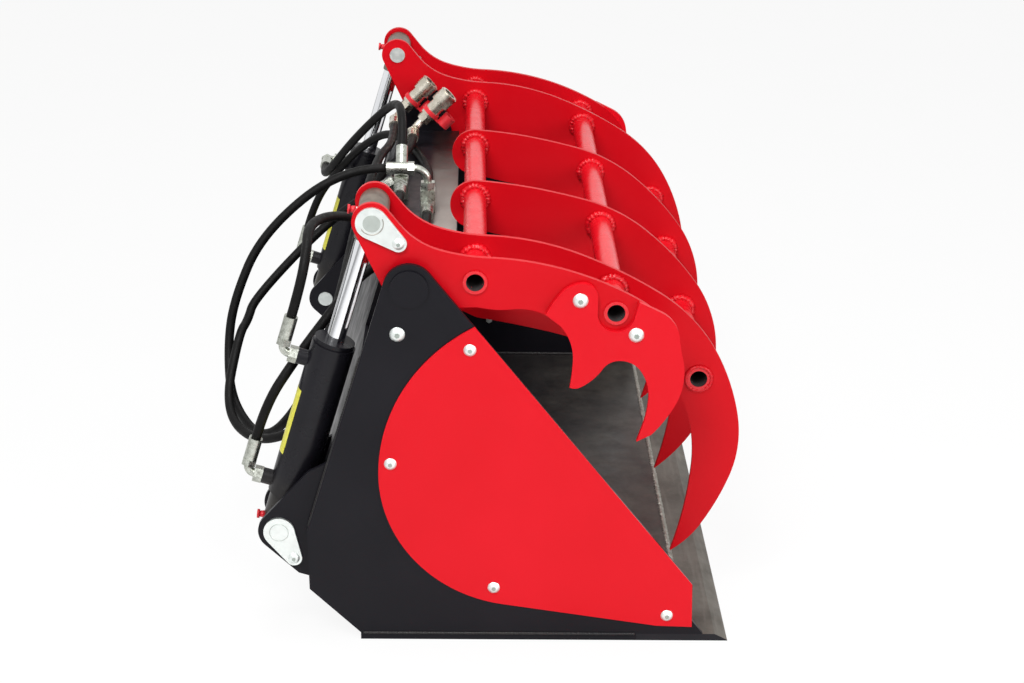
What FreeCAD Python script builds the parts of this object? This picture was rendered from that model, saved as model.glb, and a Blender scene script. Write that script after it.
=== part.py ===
# Silage grab bucket: a folded steel bucket with a hinged grab over it, worked by two hydraulic
# cylinders. Millimetres. X runs along the width, Z is up and the mouth faces -Y. The origin is
# on the ground under the middle of the cutting edge. Side views are drawn as (reach, height):
# reach grows towards the cutting edge, so it is -Y, and is zero over the middle of the floor.
import FreeCAD, Part
import Sketcher
import math
import os

V = FreeCAD.Vector
doc = FreeCAD.newDocument("SilageGrabBucket")
sheet = doc.addObject("Spreadsheet::Sheet", "Sizes")

SIZES = [
    # Bucket
    ("bucket_width", 1200),
    ("side_thickness", 8),
    ("cover_thickness", 3),
    ("shell_thickness", 5),
    ("shell_bend", 18),
    ("edge_back", 279),
    ("edge_front", 429),
    ("edge_thickness", 12),
    ("edge_lip", 1),
    ("bevel_depth", 21),
    ("strip_width", 40),
    ("floor_front", 357),
    ("floor_back", -172),
    ("back_low_reach", -254),
    ("back_low_height", 92),
    ("knee_reach", -256),
    ("knee_height", 196),
    ("shell_top_reach", -166),
    ("shell_top_height", 499),
    ("toe_reach", 388),
    ("toe_height", 40),
    ("nose_reach", 367),
    ("nose_height", 103),
    # Beam and pivot
    ("beam_height", 61),
    ("beam_front", -23),
    ("beam_wall", 5),
    ("pivot_reach", -92),
    ("pivot_height", 611),
    ("ear_radius", 40),
    ("ear_thickness", 8),
    ("ear_gap", 7),
    ("pivot_pin_diameter", 35),
    ("pivot_head_diameter", 60),
    ("pivot_head_thickness", 3),
    ("fit_play", 0.1),
    # Grab, measured from the pivot
    ("side_gap", 8),
    ("arm_thickness", 8),
    ("arm_pitch", 104),
    ("hub_radius", 38),
    ("eye_radius", 31),
    ("bush_wall", 8),
    ("tine_pitch", 318),
    ("tube_diameter", 38),
    ("tube_bore", 28),
    ("tube_stand_out", 3),
    ("rear_tube_reach", 101),
    ("rear_tube_rise", 7),
    ("middle_tube_reach", 319),
    ("middle_tube_rise", -41),
    ("front_tube_reach", 465),
    ("front_tube_rise", -194),
    ("claw_thickness", 8),
    ("claw_gap", 10),
    # Pins
    ("pin_diameter", 30),
    ("upper_pin_reach", -56),
    ("upper_pin_rise", 101),
    ("lower_pin_reach", -302),
    ("lower_pin_height", 188),
    ("pin_stand_out", 3),
    ("pin_end_gap", 1),
    ("lower_ear_radius", 34),
    ("keeper_thickness", 5),
    ("keeper_radius", 25),
    ("keeper_tail_radius", 13),
    # Cylinders
    ("eye_width", 88),
    ("barrel_diameter", 70),
    ("barrel_bore", 60),
    ("barrel_start", 45),
    ("barrel_base", 24),
    ("barrel_length", 272),
    ("barrel_eye_diameter", 50),
    ("gland_length", 24),
    ("gland_nose", 8),
    ("stroke_reserve", 22),
    ("piston_length", 30),
    ("rod_diameter", 30),
    ("rod_eye_diameter", 48),
    ("neck_diameter", 36),
    ("neck_length", 48),
    ("lower_port_along", 62),
    ("upper_port_along", 281),
    ("port_diameter", 26),
    ("port_height", 50),
    ("port_bore", 10),
    # Fasteners
    ("cover_bolt", 8),
    ("cover_bolt_head", 20),
    ("heavy_bolt", 10),
    ("heavy_bolt_head", 24),
    ("keeper_bolt_head", 19),
    ("bolt_play", 0.3),
    # Hoses and fittings
    ("hose_diameter", 16),
    ("pipe_diameter", 14),
    ("ferrule_diameter", 22),
    ("ferrule_length", 38),
    ("nut_across", 24),
    ("nut_length", 14),
    ("elbow_radius", 12),
    ("swept_radius", 24),
    ("block_size", 26),
    ("block_height", 40),
    ("coupler_diameter", 30),
    ("coupler_bore", 24),
    ("coupler_length", 62),
    ("coupler_depth", 37),
    ("sleeve_diameter", 38),
    ("sleeve_length", 26),
    ("coupler_lip", 2),
    ("cap_diameter", 26),
]
for row, (alias, size) in enumerate(SIZES, start=1):
    sheet.set(f"A{row}", alias)
    sheet.set(f"B{row}", str(size))
    sheet.setAlias(f"B{row}", alias)
doc.recompute()


class Size(float):
    """A length that keeps the sheet expression it comes from."""

    def __new__(cls, number, text):
        size = float.__new__(cls, number)
        size.text = text
        return size

    def __add__(self, other):
        return Size(float(self) + other, f"({self.text} + {text_of(other)})")

    __radd__ = __add__

    def __sub__(self, other):
        return Size(float(self) - other, f"({self.text} - {text_of(other)})")

    def __rsub__(self, other):
        return Size(other - float(self), f"({text_of(other)} - {self.text})")

    def __mul__(self, other):
        return Size(float(self) * other, f"({self.text} * {text_of(other)})")

    __rmul__ = __mul__

    def __truediv__(self, other):
        return Size(float(self) / other, f"({self.text} / {text_of(other)})")

    def __neg__(self):
        return Size(-float(self), f"(0 - {self.text})")


def text_of(number):
    return number.text if isinstance(number, Size) else f"({float(number)})"


def size_of(alias):
    return Size(float(sheet.get(alias)), f"Sizes.{alias}")


def bind(thing, name, number):
    """Sets a property, and ties it to the sheet if it comes from there."""
    if isinstance(number, Size):
        thing.setExpression(name, number.text)
    elif "." not in name:
        setattr(thing, name, number)


BUCKET_WIDTH = size_of("bucket_width")
SIDE = size_of("side_thickness")
COVER = size_of("cover_thickness")
SHELL = size_of("shell_thickness")
EDGE = size_of("edge_thickness")
ARM = size_of("arm_thickness")
CLAW = size_of("claw_thickness")
EAR = size_of("ear_thickness")
KEEPER = size_of("keeper_thickness")
PIN = size_of("pin_diameter")
PIVOT_PIN = size_of("pivot_pin_diameter")
TUBE = size_of("tube_diameter")
PLAY = size_of("fit_play")
BOLT_PLAY = size_of("bolt_play")
PIN_GAP = size_of("pin_end_gap")
STAND_OUT = size_of("pin_stand_out")
EYE_WIDTH = size_of("eye_width")
ROD = size_of("rod_diameter")
BORE = size_of("barrel_bore")
COVER_BOLT = size_of("cover_bolt")
HEAVY_BOLT = size_of("heavy_bolt")
HOSE = size_of("hose_diameter")
FERRULE = size_of("ferrule_length")
NUT = size_of("nut_length")
NUT_ACROSS = size_of("nut_across")
SWEPT = size_of("swept_radius")


def y_of(reach):
    return (size_of("edge_back") + size_of("edge_front")) / 2 - reach


# Faces across the width, as distances from the middle
side_outer = BUCKET_WIDTH / 2
side_inner = side_outer - SIDE
arm_outer = side_inner - size_of("side_gap")
arm_outer_back = arm_outer - ARM
arm_inner = arm_outer - size_of("arm_pitch")
arm_inner_back = arm_inner - ARM
ear_outer = arm_inner_back - size_of("ear_gap")
ear_inner = ear_outer - EAR
cylinder_offset = (arm_outer_back + arm_inner) / 2

# Places in the side view. The grab's own are measured from the pivot
PIVOT = (size_of("pivot_reach"), size_of("pivot_height"))
UPPER_PIN = (size_of("upper_pin_reach"), size_of("upper_pin_rise"))
LOWER_PIN = (size_of("lower_pin_reach"), size_of("lower_pin_height"))
REAR_TUBE = (size_of("rear_tube_reach"), size_of("rear_tube_rise"))
MIDDLE_TUBE = (size_of("middle_tube_reach"), size_of("middle_tube_rise"))
FRONT_TUBE = (size_of("front_tube_reach"), size_of("front_tube_rise"))
SHELL_TOP = (size_of("shell_top_reach"), size_of("shell_top_height"))
KNEE = (size_of("knee_reach"), size_of("knee_height"))
BACK_LOW = (size_of("back_low_reach"), size_of("back_low_height"))
FLOOR_BACK = (size_of("floor_back"), EDGE)
FLOOR_FRONT = (size_of("floor_front"), EDGE)
NOSE = (size_of("nose_reach"), size_of("nose_height"))
UPPER_PIN_PLACE = (PIVOT[0] + UPPER_PIN[0], PIVOT[1] + UPPER_PIN[1])
ORIGIN = (0.0, 0.0)
COVER_BOLTS = ((2, 513), (-122, 318), (44, 98), (327, 48))
SIDE_BOLT = (PIVOT[0] - 18, PIVOT[1] - 74)
CLAW_BOLTS = ((263, -19), (351, -75))
UPPER_KEEPER_BOLT = (-16, 69)
LOWER_KEEPER_BOLT = (-279, 142)
NOTHING = Size(0, "0")
SIDES = (("right", -1), ("left", 1))
parts = []


# Angles are in degrees in the side view: 0 points forward and 90 up
def beside(point, radius, angle):
    turn = math.radians(angle)
    return point[0] + radius * math.cos(turn), point[1] + radius * math.sin(turn)


def heading(start, end):
    return math.degrees(math.atan2(end[1] - start[1], end[0] - start[0]))


def distance(start, end):
    return math.hypot(end[0] - start[0], end[1] - start[1])


def touch(point, centre, radius, side):
    """Where the line from a point touches a circle, as an angle about the circle's centre."""
    return (heading(centre, point) + side * math.degrees(math.acos(radius / distance(centre, point)))) % 360


def wrap(centre, radius, other, other_radius, side):
    """Where a line touches two circles from one side, as an angle about either centre."""
    lean = math.degrees(math.acos((radius - other_radius) / distance(centre, other)))
    return heading(centre, other) + side * lean


class Outline:
    """A closed outline of lines and arcs."""

    def __init__(self, start, direction=0.0):
        self.start = self.here = start
        self.direction = direction
        self.pieces = []

    def turn(self, direction):
        """A sharp corner: the next arc starts in this direction."""
        self.direction = direction
        return self

    def line(self, *points):
        for point in points:
            if distance(self.here, point) > 0.01:
                self.pieces.append((self.here, None, point))
                self.direction = heading(self.here, point)
                self.here = point
        return self

    def curve(self, *points):
        """Arcs through the points, each one tangent to the piece before it."""
        for point in points:
            chord = heading(self.here, point)
            half = (chord - self.direction + 180) % 360 - 180
            centre = ((self.here[0] + point[0]) / 2, (self.here[1] + point[1]) / 2)
            bulge = distance(self.here, point) / 2 * math.tan(math.radians(half / 2))
            middle = beside(centre, bulge, chord - 90) if abs(bulge) > 0.01 else None
            self.pieces.append((self.here, middle, point))
            self.here = point
            self.direction = chord + half
        return self

    def around(self, centre, radius, start, end):
        """A line to an arc about a centre, then the arc from one angle to another."""
        self.line(beside(centre, radius, start))
        stop = beside(centre, radius, end)
        self.pieces.append((self.here, beside(centre, radius, (start + end) / 2), stop))
        self.here = stop
        self.direction = end + (90 if end > start else -90)
        return self

    def corner(self, point, radius, after):
        """A line towards a point, and a rounded turn there towards the next one."""
        turn = (heading(point, after) - heading(self.here, point) + 180) % 360 - 180
        setback = radius * math.tan(math.radians(abs(turn) / 2))
        self.line(beside(point, setback, heading(point, self.here)))
        return self.curve(beside(point, setback, heading(point, after)))

    def close(self):
        return self.line(self.start)


def spot(point):
    """A side-view point in the YZ plane."""
    return V(-point[0], point[1], 0)


def keep(thing, label):
    thing.Label = label
    parts.append(thing)
    return thing


def group(label, *things):
    """Like pieces that stay separate solids under one name."""
    pair = doc.addObject("Part::Compound", label)
    pair.Links = list(things)
    return keep(pair, label)


def plate(label, outline, thickness, side, low, place=ORIGIN, holes=(), inner=None):
    """A flat plate, from its face nearest the middle outwards, with round holes."""
    body = doc.addObject("PartDesign::Body", label)
    sketch = body.newObject("Sketcher::SketchObject", label + "_sketch")
    yz_plane = [f for f in body.Origin.OriginFeatures if f.Role == "YZ_Plane"][0]
    sketch.AttachmentSupport = [(yz_plane, "")]
    sketch.MapMode = "FlatFace"
    for loop in (outline, inner):
        for begin, middle, end in loop.pieces if loop else ():
            if middle is None:
                sketch.addGeometry(Part.LineSegment(spot(begin), spot(end)), False)
            else:
                sketch.addGeometry(Part.Arc(spot(begin), spot(middle), spot(end)), False)
    for centre, radius in holes:
        circle = sketch.addGeometry(Part.Circle(spot(centre), V(0, 0, 1), radius), False)
        limit = sketch.addConstraint(Sketcher.Constraint("Radius", circle, float(radius)))
        sketch.setExpression(f"Constraints[{limit}]", radius.text)
    pad = body.newObject("PartDesign::Pad", label + "_pad")
    pad.Profile = sketch
    bind(pad, "Length", thickness)
    body.Tip = pad
    bind(body, "Placement.Base.x", low if side > 0 else -(low + thickness))
    bind(body, "Placement.Base.y", y_of(place[0]))
    bind(body, "Placement.Base.z", place[1])
    body.Label = label
    return body


def cylinder(name, radius, height, base=(0, 0, 0), axis=(0, 0, 1)):
    solid = doc.addObject("Part::Cylinder", name)
    bind(solid, "Radius", radius)
    bind(solid, "Height", height)
    solid.Placement = FreeCAD.Placement(V(*base), FreeCAD.Rotation(V(0, 0, 1), V(*axis)))
    for letter, number in zip("xyz", base):
        bind(solid, f"Placement.Base.{letter}", number)
    return solid


def across(name, radius, low, high, side, place):
    """A round bar along X, between two distances from the middle on one side."""
    start = low if side > 0 else -high
    return cylinder(name, radius, high - low, (start, y_of(place[0]), place[1]), (1, 0, 0))


def fuse(name, *solids):
    joined = doc.addObject("Part::MultiFuse", name)
    joined.Shapes = list(solids)
    return joined


def cut(name, base, tool):
    result = doc.addObject("Part::Cut", name)
    result.Base = base
    result.Tool = tool
    return result


def feature(label, shape):
    thing = doc.addObject("Part::Feature", label)
    thing.Shape = shape
    return keep(thing, label)


# Bucket
def offset_line(points, depth):
    """The same line moved to its right by a depth, with its ends square."""
    moved = []
    for index, point in enumerate(points):
        before = heading(points[max(index - 1, 0)], points[max(index, 1)])
        after = heading(points[min(index, len(points) - 2)], points[min(index + 1, len(points) - 1)])
        half = math.radians((after - before + 180) % 360 - 180) / 2
        moved.append(beside(point, depth / math.cos(half), (before - 90) + math.degrees(half)))
    return moved


def bucket_shell():
    outer = [FLOOR_FRONT, FLOOR_BACK, BACK_LOW, KNEE, SHELL_TOP]
    inner = offset_line(outer, SHELL)
    bend = size_of("shell_bend")
    outline = Outline(outer[0])
    for point, after in zip(outer[1:-1], outer[2:]):
        outline.corner(point, bend, after)
    outline.line(outer[-1], inner[-1])
    for point, after in zip(inner[-2:0:-1], inner[-3::-1]):
        outline.corner(point, bend - SHELL, after)
    outline.line(inner[0]).close()
    keep(plate("bucket_shell", outline, side_inner * 2, 1, -side_inner), "bucket_shell")


def cutting_edge():
    front = size_of("edge_front")
    lip = (front, size_of("edge_lip"))
    bevel = (front - size_of("bevel_depth"), EDGE)
    back = size_of("edge_back")
    outline = Outline((back, 0)).line((front, 0), lip, bevel, (back, EDGE)).close()
    keep(plate("cutting_edge", outline, BUCKET_WIDTH, 1, -side_outer), "cutting_edge")


def wear_strip(name, side):
    back, front = FLOOR_BACK[0], size_of("edge_back")
    outline = Outline((back, 0)).line((front, 0), (front, EDGE), (back, EDGE)).close()
    width = size_of("strip_width")
    return plate(f"wear_strip_{name}", outline, width, side, side_outer - width)


def side_plate(name, side):
    radius = size_of("ear_radius")
    front = touch(NOSE, PIVOT, radius, 1)
    back = touch(KNEE, PIVOT, radius, -1)
    outline = Outline(FLOOR_BACK).line((size_of("toe_reach"), EDGE), (NOSE[0], size_of("toe_height")), NOSE)
    outline.around(PIVOT, radius, front, back).line(KNEE, BACK_LOW).close()
    holes = [(PIVOT, PIVOT_PIN / 2 + PLAY), (SIDE_BOLT, HEAVY_BOLT / 2 + BOLT_PLAY)]
    holes += [(place, COVER_BOLT / 2 + BOLT_PLAY) for place in COVER_BOLTS]
    label = f"side_plate_{name}"
    keep(plate(label, outline, SIDE, side, side_inner, holes=holes), label)


def side_cover(name, side):
    crest, tail, tip, brow = (9, 551), (311, 29), (369, 27), (366, 105)
    upper, upper_radius = (144, 300), 285
    lower, lower_radius = (94, 300), 235
    outline = Outline(crest).around(upper, upper_radius, heading(upper, crest), 180)
    outline.around(lower, lower_radius, 180, touch(tail, lower, lower_radius, -1))
    outline.line(tail, tip, brow).close()
    holes = [(place, COVER_BOLT / 2 + BOLT_PLAY) for place in COVER_BOLTS]
    label = f"side_cover_{name}"
    keep(plate(label, outline, COVER, side, side_outer, holes=holes), label)


def beam_line(height):
    """The line of the shell's back, which the beam's rear face carries on upwards."""
    slope = (SHELL_TOP[0] - KNEE[0]) / (SHELL_TOP[1] - KNEE[1])
    return float(SHELL_TOP[0] + slope * (height - SHELL_TOP[1]))


def back_beam():
    low, high = SHELL_TOP[1], SHELL_TOP[1] + size_of("beam_height")
    front, wall = size_of("beam_front"), size_of("beam_wall")
    outline = Outline((beam_line(low), low))
    outline.line((front, low), (front, high), (beam_line(high), high)).close()
    low, high, front = low + wall, high - wall, front - wall
    hollow = Outline((beam_line(low) + wall, low))
    hollow.line((front, low), (front, high), (beam_line(high) + wall, high)).close()
    keep(plate("back_beam", outline, ear_inner * 2, 1, -ear_inner, inner=hollow), "back_beam")


def pivot_ear(name, side):
    low = SHELL_TOP[1]
    radius = size_of("ear_radius")
    rear, front = (beam_line(low), low), (size_of("beam_front"), low)
    outline = Outline(rear).line(front)
    outline.around(PIVOT, radius, touch(front, PIVOT, radius, 1), touch(rear, PIVOT, radius, -1)).close()
    return plate(f"pivot_ear_{name}", outline, EAR, side, ear_inner, holes=[(PIVOT, PIVOT_PIN / 2 + PLAY)])


def pivot_pin(name, side):
    head = size_of("pivot_head_diameter") / 2
    thick = size_of("pivot_head_thickness")
    shank = across(f"pivot_shank_{name}", PIVOT_PIN / 2, ear_inner, side_outer, side, PIVOT)
    disc = across(f"pivot_disc_{name}", head, side_outer, side_outer + thick, side, PIVOT)
    return fuse(f"pivot_pin_{name}", shank, disc)


# Cylinder brackets behind the shell, and the pins that the cylinders stand on
def bracket(label, side, low):
    radius = size_of("lower_ear_radius")
    top_height = 310
    top, bottom = (beam_line(top_height), top_height), (-255, 108)
    crest, heel = (-253, 294), (-272, 113)
    outline = Outline(bottom).line(KNEE, top, crest)
    outline.around(LOWER_PIN, radius, touch(crest, LOWER_PIN, radius, 1), touch(heel, LOWER_PIN, radius, -1))
    outline.line(heel).close()
    holes = [(LOWER_PIN, PIN / 2 + PLAY), (LOWER_KEEPER_BOLT, HEAVY_BOLT / 2 + BOLT_PLAY)]
    return plate(label, outline, ARM, side, low, holes=holes)


def keeper(label, side, low, place, pin, bolt):
    """A teardrop plate that holds a pin: wide round the pin, narrow round its bolt."""
    wide, narrow = size_of("keeper_radius"), size_of("keeper_tail_radius")
    first = wrap(pin, wide, bolt, narrow, -1)
    second = wrap(pin, wide, bolt, narrow, 1)
    outline = Outline(beside(bolt, narrow, first))
    outline.around(bolt, narrow, first, second).around(pin, wide, second, first + 360)
    outline.close()
    return plate(label, outline, KEEPER, side, low, place, [(bolt, HEAVY_BOLT / 2 + BOLT_PLAY)])


def brackets(name, side):
    outer = bracket(f"bracket_outer_{name}", side, arm_outer_back)
    inner = bracket(f"bracket_inner_{name}", side, arm_inner_back)
    group(f"cylinder_bracket_{name}", outer, inner)


def lower_pin(name, side):
    return across(f"lower_pin_{name}", PIN / 2, arm_inner_back - STAND_OUT, arm_outer, side, LOWER_PIN)


def lower_keeper(name, side):
    return keeper(f"lower_keeper_{name}", side, arm_outer, ORIGIN, LOWER_PIN, LOWER_KEEPER_BOLT)


def upper_keeper(name, side):
    return keeper(f"upper_keeper_{name}", side, arm_outer, PIVOT, UPPER_PIN, UPPER_KEEPER_BOLT)


# Grab, drawn from the pivot
def arm(label, side, low, edge, holes):
    """A lever round the upper pin and the pivot, and the edge that makes the rest of it."""
    hub_radius, eye_radius = size_of("hub_radius"), size_of("eye_radius")
    shoulder = (-13, 97)
    top = touch(shoulder, UPPER_PIN, eye_radius, 1)
    rear = wrap(ORIGIN, hub_radius, UPPER_PIN, eye_radius, 1)
    outline = Outline(beside(UPPER_PIN, eye_radius, top))
    outline.line(shoulder).curve((45, 58), (119, 46))
    edge(outline)
    outline.around(ORIGIN, hub_radius, touch(outline.here, ORIGIN, hub_radius, -1), rear)
    outline.around(UPPER_PIN, eye_radius, rear, top).close()
    holes = [(ORIGIN, PIVOT_PIN / 2 + PLAY), (UPPER_PIN, PIN / 2 + PLAY)] + holes
    keep(plate(label, outline, ARM, side, low, PIVOT, holes), label)


def tube_holes(*places):
    return [(place, TUBE / 2 + PLAY) for place in places]


def outer_arm_edge(outline):
    outline.curve((245, 26), (352, -19), (412, -78), (426, -126))
    outline.line((392, -141), (327, -106), (210, -46)).curve((159, -37), (105, -34))


def blade_edge(outline):
    """The long curved blade, from its back to the tip and back along its inner side."""
    outline.curve((398, -49), (491, -146), (533, -261), (524, -371), (481, -459), (433, -508))
    outline.turn(73).curve((461, -349), (449, -254))


def inner_arm_edge(outline):
    blade_edge(outline.curve((268, 16)))
    outline.curve((427, -206), (402, -186), (332, -156), (222, -115), (104, -91))


def outer_arm(name, side):
    holes = tube_holes(REAR_TUBE, MIDDLE_TUBE)
    holes += [(place, HEAVY_BOLT / 2 + BOLT_PLAY) for place in CLAW_BOLTS + (UPPER_KEEPER_BOLT,)]
    arm(f"arm_outer_{name}", side, arm_outer_back, outer_arm_edge, holes)


def inner_arm(name, side):
    holes = tube_holes(REAR_TUBE, MIDDLE_TUBE, FRONT_TUBE)
    arm(f"arm_inner_{name}", side, arm_inner_back, inner_arm_edge, holes)


def tine(name, side):
    heel, radius = (101, -6), 43
    outline = Outline(beside(heel, radius, 86), -4)
    blade_edge(outline.curve((216, 22), (293, 4)))
    outline.curve((392, -166), (244, -82))
    outline.around(heel, radius, touch(outline.here, heel, radius, -1), 86).close()
    low = (size_of("tine_pitch") - ARM) / 2
    holes = tube_holes(REAR_TUBE, MIDDLE_TUBE, FRONT_TUBE)
    keep(plate(f"tine_{name}", outline, ARM, side, low, PIVOT, holes), f"tine_{name}")


def claw(name, side):
    """The two-pronged plate on the outer arm, cut out round the middle tube."""
    cut_out = TUBE / 2 + size_of("claw_gap")
    heel = (MIDDLE_TUBE[0] - 29, MIDDLE_TUBE[1] + 26)
    crest = (MIDDLE_TUBE[0] + 35, MIDDLE_TUBE[1] + 20)
    outline = Outline((210, -43), 65).curve((232, -8), (249, 5), (263, 9), (281, 4), heel)
    start = touch(heel, MIDDLE_TUBE, cut_out, 1)
    outline.around(MIDDLE_TUBE, cut_out, start, touch(crest, MIDDLE_TUBE, cut_out, -1))
    outline.line(crest, (389, -38)).curve((418, -78), (425, -114), (416, -194), (381, -244))
    outline.line((358, -256)).turn(72)
    outline.curve((367, -227), (374, -180), (360, -135), (320, -119), (301, -132), (289, -147))
    outline.curve((268, -163), (250, -164)).turn(81).curve((254, -118), (233, -61)).close()
    holes = [(place, HEAVY_BOLT / 2 + BOLT_PLAY) for place in CLAW_BOLTS]
    keep(plate(f"claw_{name}", outline, CLAW, side, arm_outer, PIVOT, holes), f"claw_{name}")


def from_pivot(place):
    return PIVOT[0] + place[0], PIVOT[1] + place[1]


def cross_tube(label, place, end):
    wall = across(label + "_wall", TUBE / 2, -end, end, 1, from_pivot(place))
    bore = across(label + "_bore", size_of("tube_bore") / 2, -end, end, 1, from_pivot(place))
    keep(cut(label, wall, bore), label)


def pivot_bush(name, side):
    inner = PIVOT_PIN / 2 + PLAY
    wall = across(f"bush_wall_{name}", inner + size_of("bush_wall"), arm_inner, arm_outer_back, side, PIVOT)
    bore = across(f"bush_bore_{name}", inner, arm_inner, arm_outer_back, side, PIVOT)
    return cut(f"pivot_bush_{name}", wall, bore)


# The upper pin is in three lengths: the middle one turns with the rod's eye
pin_near = cylinder_offset - EYE_WIDTH / 2
pin_far = cylinder_offset + EYE_WIDTH / 2


def upper_pin_core(name, side):
    core = across(f"upper_pin_core_{name}", PIN / 2, pin_near, pin_far, side, UPPER_PIN_PLACE)
    keep(core, f"upper_pin_core_{name}")


def upper_pin_ends(name, side):
    low = arm_inner_back - STAND_OUT
    inner = across(f"pin_inner_{name}", PIN / 2, low, pin_near - PIN_GAP, side, UPPER_PIN_PLACE)
    outer = across(f"pin_outer_{name}", PIN / 2, pin_far + PIN_GAP, arm_outer, side, UPPER_PIN_PLACE)
    return fuse(f"upper_pin_ends_{name}", inner, outer)


# Cylinders, each drawn upright from its own eye and leant to the line between its pins
pin_to_pin = distance(LOWER_PIN, UPPER_PIN_PLACE)
lean = 90 - heading(LOWER_PIN, UPPER_PIN_PLACE)
LEAN = FreeCAD.Rotation(V(1, 0, 0), lean)


def stand(thing, label, side, place):
    """Puts a piece that was drawn upright at its pin, leant with the cylinder."""
    thing.Placement = FreeCAD.Placement(V(side * cylinder_offset, y_of(place[0]), place[1]), LEAN)
    bind(thing, "Placement.Base.x", cylinder_offset * side)
    bind(thing, "Placement.Base.y", y_of(place[0]))
    bind(thing, "Placement.Base.z", place[1])
    return keep(thing, label)


def eye_bar(name, radius):
    return cylinder(name, radius, EYE_WIDTH, (-EYE_WIDTH / 2, NOTHING, NOTHING), (1, 0, 0))


def port_bar(name, radius, along, height):
    return cylinder(name, radius, height, (NOTHING, NOTHING, along), (0, 1, 0))


def barrel(name, side):
    start, base, length = size_of("barrel_start"), size_of("barrel_base"), size_of("barrel_length")
    outer = size_of("barrel_diameter") / 2
    ports = (size_of("lower_port_along"), size_of("upper_port_along"))
    port_height = size_of("port_height")
    solids = [eye_bar(f"barrel_eye_{name}", size_of("barrel_eye_diameter") / 2)]
    solids.append(cylinder(f"barrel_foot_{name}", BORE / 2, start, (0, 0, NOTHING)))
    solids.append(cylinder(f"barrel_tube_{name}", outer, length, (0, 0, start)))
    holes = [eye_bar(f"barrel_eye_hole_{name}", PIN / 2 + PLAY)]
    holes.append(cylinder(f"barrel_bore_{name}", BORE / 2, length - base, (0, 0, start + base)))
    for number, along in enumerate(ports, start=1):
        solids.append(port_bar(f"port_{number}_{name}", size_of("port_diameter") / 2, along, port_height))
        holes.append(port_bar(f"port_hole_{number}_{name}", size_of("port_bore") / 2, along, port_height))
    body = cut(f"barrel_{name}", fuse(f"barrel_steel_{name}", *solids), fuse(f"barrel_holes_{name}", *holes))
    stand(body, f"barrel_{name}", side, LOWER_PIN)


def gland(name, side):
    top = size_of("barrel_start") + size_of("barrel_length")
    depth, nose = size_of("gland_length"), size_of("gland_nose")
    flange = (size_of("barrel_diameter") + BORE) / 4
    solids = [cylinder(f"gland_plug_{name}", BORE / 2 - PLAY / 2, depth + nose, (0, 0, top - depth))]
    solids.append(cylinder(f"gland_flange_{name}", flange, nose, (0, 0, top)))
    hole = cylinder(f"gland_hole_{name}", ROD / 2 + PLAY / 2, depth + nose, (0, 0, top - depth))
    ring = cut(f"gland_{name}", fuse(f"gland_steel_{name}", *solids), hole)
    stand(ring, f"gland_{name}", side, LOWER_PIN)


def rod(name, side):
    """The rod hangs from the upper pin, so its parts lie below zero."""
    top = size_of("barrel_start") + size_of("barrel_length")
    piston_top = top - size_of("gland_length") - size_of("stroke_reserve")
    thick = size_of("piston_length")
    end = piston_top - thick - pin_to_pin
    solids = [eye_bar(f"rod_eye_{name}", size_of("rod_eye_diameter") / 2)]
    solids.append(cylinder(f"rod_neck_{name}", size_of("neck_diameter") / 2, size_of("neck_length"),
                           (0, 0, -size_of("neck_length"))))
    solids.append(cylinder(f"rod_bar_{name}", ROD / 2, -end, (0, 0, end)))
    steel = fuse(f"rod_steel_{name}", *solids)
    body = cut(f"rod_{name}", steel, eye_bar(f"rod_eye_hole_{name}", PIN / 2 + PLAY))
    stand(body, f"rod_{name}", side, UPPER_PIN_PLACE)
    disc = cylinder(f"piston_disc_{name}", BORE / 2 - PLAY / 2, thick, (0, 0, end))
    hole = cylinder(f"piston_hole_{name}", ROD / 2 + PLAY / 2, thick, (0, 0, end))
    stand(cut(f"piston_{name}", disc, hole), f"piston_{name}", side, UPPER_PIN_PLACE)


# Small turned and bent pieces, made about a point and a direction
def round_bar(start, direction, radius, length):
    return Part.makeCylinder(radius, length, start, direction)


def hexagon(start, direction, across_flats, length):
    corners = []
    turn = FreeCAD.Rotation(V(0, 0, 1), direction)
    for step in range(7):
        angle = math.radians(60 * step)
        reach = across_flats / 2 / math.cos(math.radians(30))
        corners.append(start + turn.multVec(V(reach * math.cos(angle), reach * math.sin(angle), 0)))
    return Part.Face(Part.makePolygon(corners)).extrude(direction * length)


def dome(start, direction, diameter, height):
    """A low round head with a flat underside: a slice of a ball, turned from its half profile."""
    radius = (diameter ** 2 / 4 + height ** 2) / (2 * height)
    half = math.asin(diameter / 2 / radius) / 2
    rim, top = V(diameter / 2, 0, 0), V(0, 0, height)
    middle = V(radius * math.sin(half), 0, height - radius + radius * math.cos(half))
    arc = Part.Arc(rim, middle, top).toShape()
    profile = Part.Face(Part.Wire([Part.makeLine(V(), rim), arc, Part.makeLine(top, V())]))
    head = profile.revolve(V(), V(0, 0, 1), 360)
    head.Placement = FreeCAD.Placement(start, FreeCAD.Rotation(V(0, 0, 1), direction))
    return head


def bend(start, direction, after, radius, pipe):
    """A quarter-turn of pipe from one direction to another, and the point where it ends."""
    stop = start + (direction + after) * radius
    middle = start + after * radius + (direction - after) * (radius / math.sqrt(2))
    wire = Part.Wire([Part.Arc(start, middle, stop).toShape()])
    ring = Part.Wire([Part.Circle(start, direction, pipe / 2).toShape()])
    return wire.makePipeShell([ring], True, False), stop


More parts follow.
